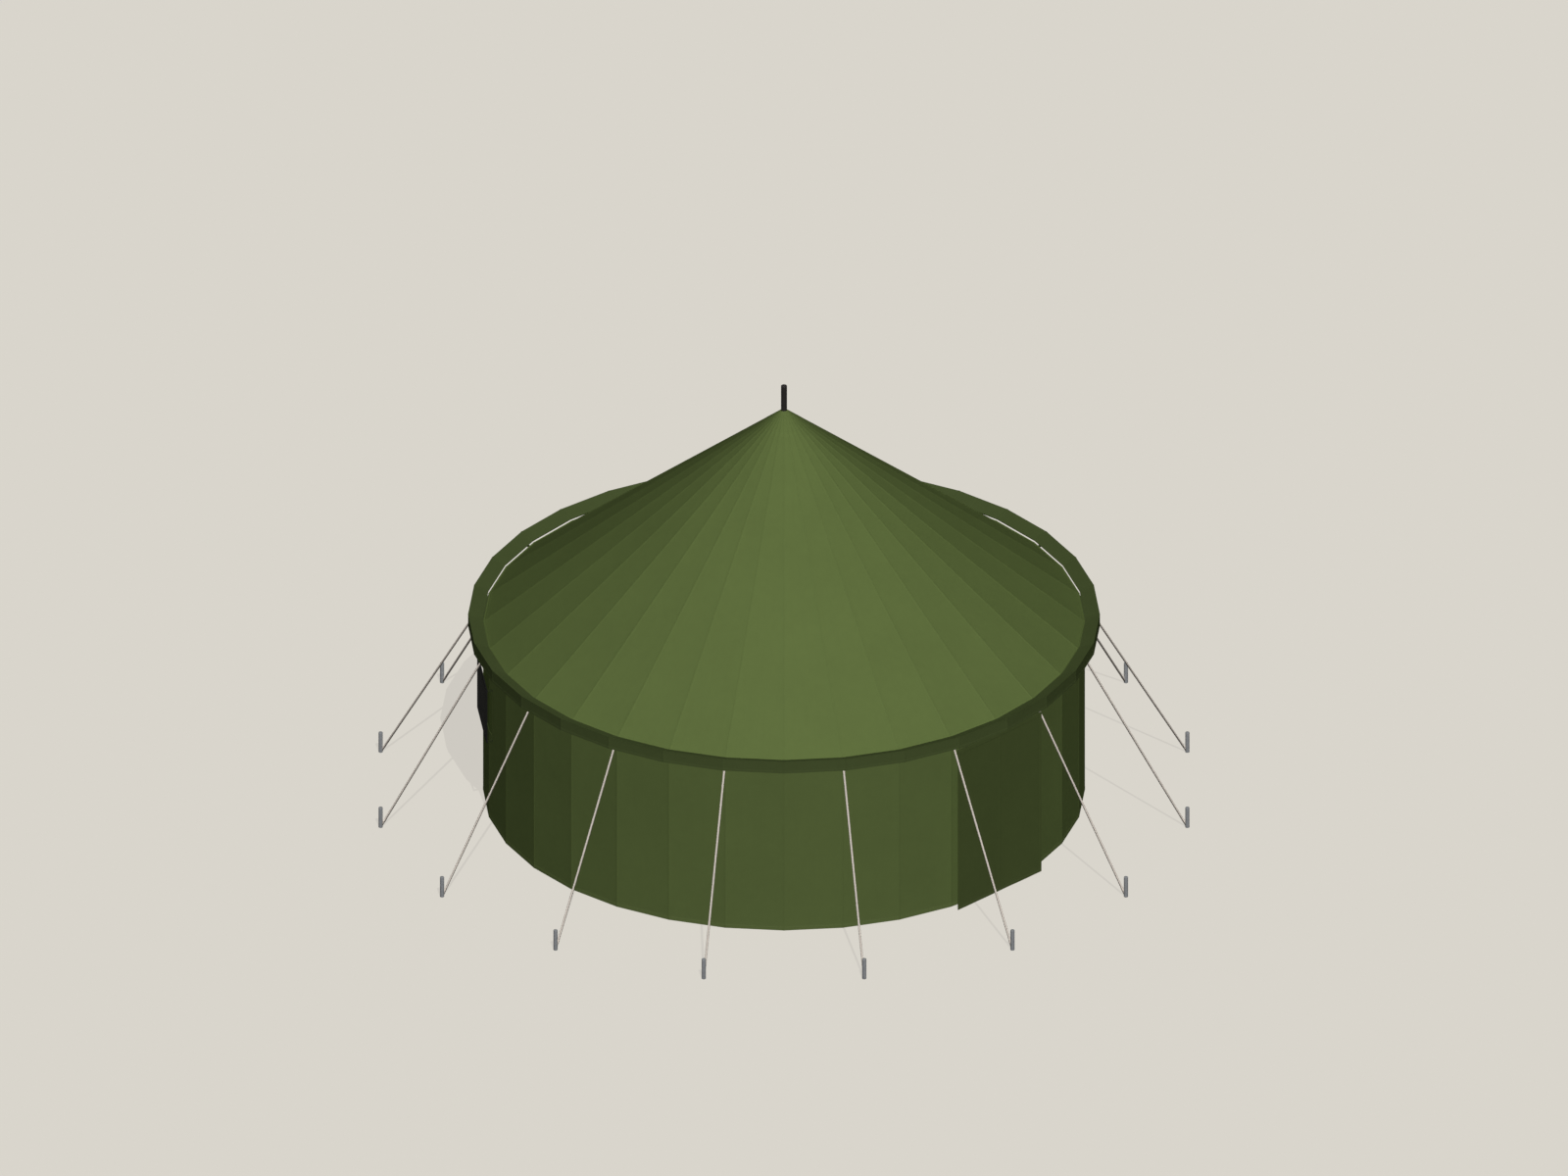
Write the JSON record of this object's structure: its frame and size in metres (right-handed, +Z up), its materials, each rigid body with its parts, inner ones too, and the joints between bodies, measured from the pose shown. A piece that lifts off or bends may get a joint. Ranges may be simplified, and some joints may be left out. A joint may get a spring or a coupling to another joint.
{
  "type": "circus big top tent",
  "caption": "Round big top tent with a conical canvas roof on one king pole, a flared eave valance, an upright side wall, a hung entrance flap, and guy ropes to stakes.",
  "frame": {"origin": "centre of the tent's bounding box at ground level, which is the king pole's axis on the ground", "axes": "+Z up along the king pole, -Y out through the doorway, and +X to the right of a visitor who faces the doorway from outside"},
  "size_m": [13.4772, 13.4772, 7.6],
  "materials": {
    "roof_canvas": "olive green coated canvas, matt, taut, with sewn seams along the gores",
    "wall_canvas": "olive green canvas, matt, with sewn seams and hems",
    "valance_canvas": "dark olive coated canvas, matt, stretched over a stiff flare",
    "flap_canvas": "olive green canvas, matt, with hemmed edges",
    "window_mesh": "black woven mesh",
    "window_paint": "satin black",
    "pole_paint": "dark brown-black, worn satin",
    "hoop_steel": "dark green paint on steel tube and brackets",
    "collar_steel": "dull galvanised steel",
    "stake_steel": "dull dark grey forged steel, worn on the head",
    "guy_rope": "pale laid hemp rope, matt"
  },
  "bodies": {
    "root": {"crown_collar": "collar_steel", "door_flap": "flap_canvas", "door_rail": "hoop_steel", "eave_hoop": "hoop_steel", "eave_valance": "valance_canvas", "guy_rope_01": "guy_rope", "guy_rope_02": "guy_rope", "guy_rope_03": "guy_rope", "guy_rope_04": "guy_rope", "guy_rope_05": "guy_rope", "guy_rope_06": "guy_rope", "guy_rope_07": "guy_rope", "guy_rope_08": "guy_rope", "guy_rope_09": "guy_rope", "guy_rope_10": "guy_rope", "guy_rope_11": "guy_rope", "guy_rope_12": "guy_rope", "guy_rope_13": "guy_rope", "guy_rope_14": "guy_rope", "guy_rope_15": "guy_rope", "guy_rope_16": "guy_rope", "king_pole": "pole_paint", "king_pole_base": "collar_steel", "roof_canopy": "roof_canvas", "stake_01": "stake_steel", "stake_02": "stake_steel", "stake_03": "stake_steel", "stake_04": "stake_steel", "stake_05": "stake_steel", "stake_06": "stake_steel", "stake_07": "stake_steel", "stake_08": "stake_steel", "stake_09": "stake_steel", "stake_10": "stake_steel", "stake_11": "stake_steel", "stake_12": "stake_steel", "stake_13": "stake_steel", "stake_14": "stake_steel", "stake_15": "stake_steel", "stake_16": "stake_steel", "wall_back": "wall_canvas", "wall_back_left": "wall_canvas", "wall_back_right": "wall_canvas", "wall_door_head": "wall_canvas", "wall_door_left": "wall_canvas", "wall_door_right": "wall_canvas", "wall_front_left": "wall_canvas", "wall_front_right": "wall_canvas", "wall_left": "wall_canvas", "wall_right": "wall_canvas", "window_left_frame": "window_paint", "window_left_pane": "window_mesh", "window_right_frame": "window_paint", "window_right_pane": "window_mesh"}
  },
  "joints": []
}
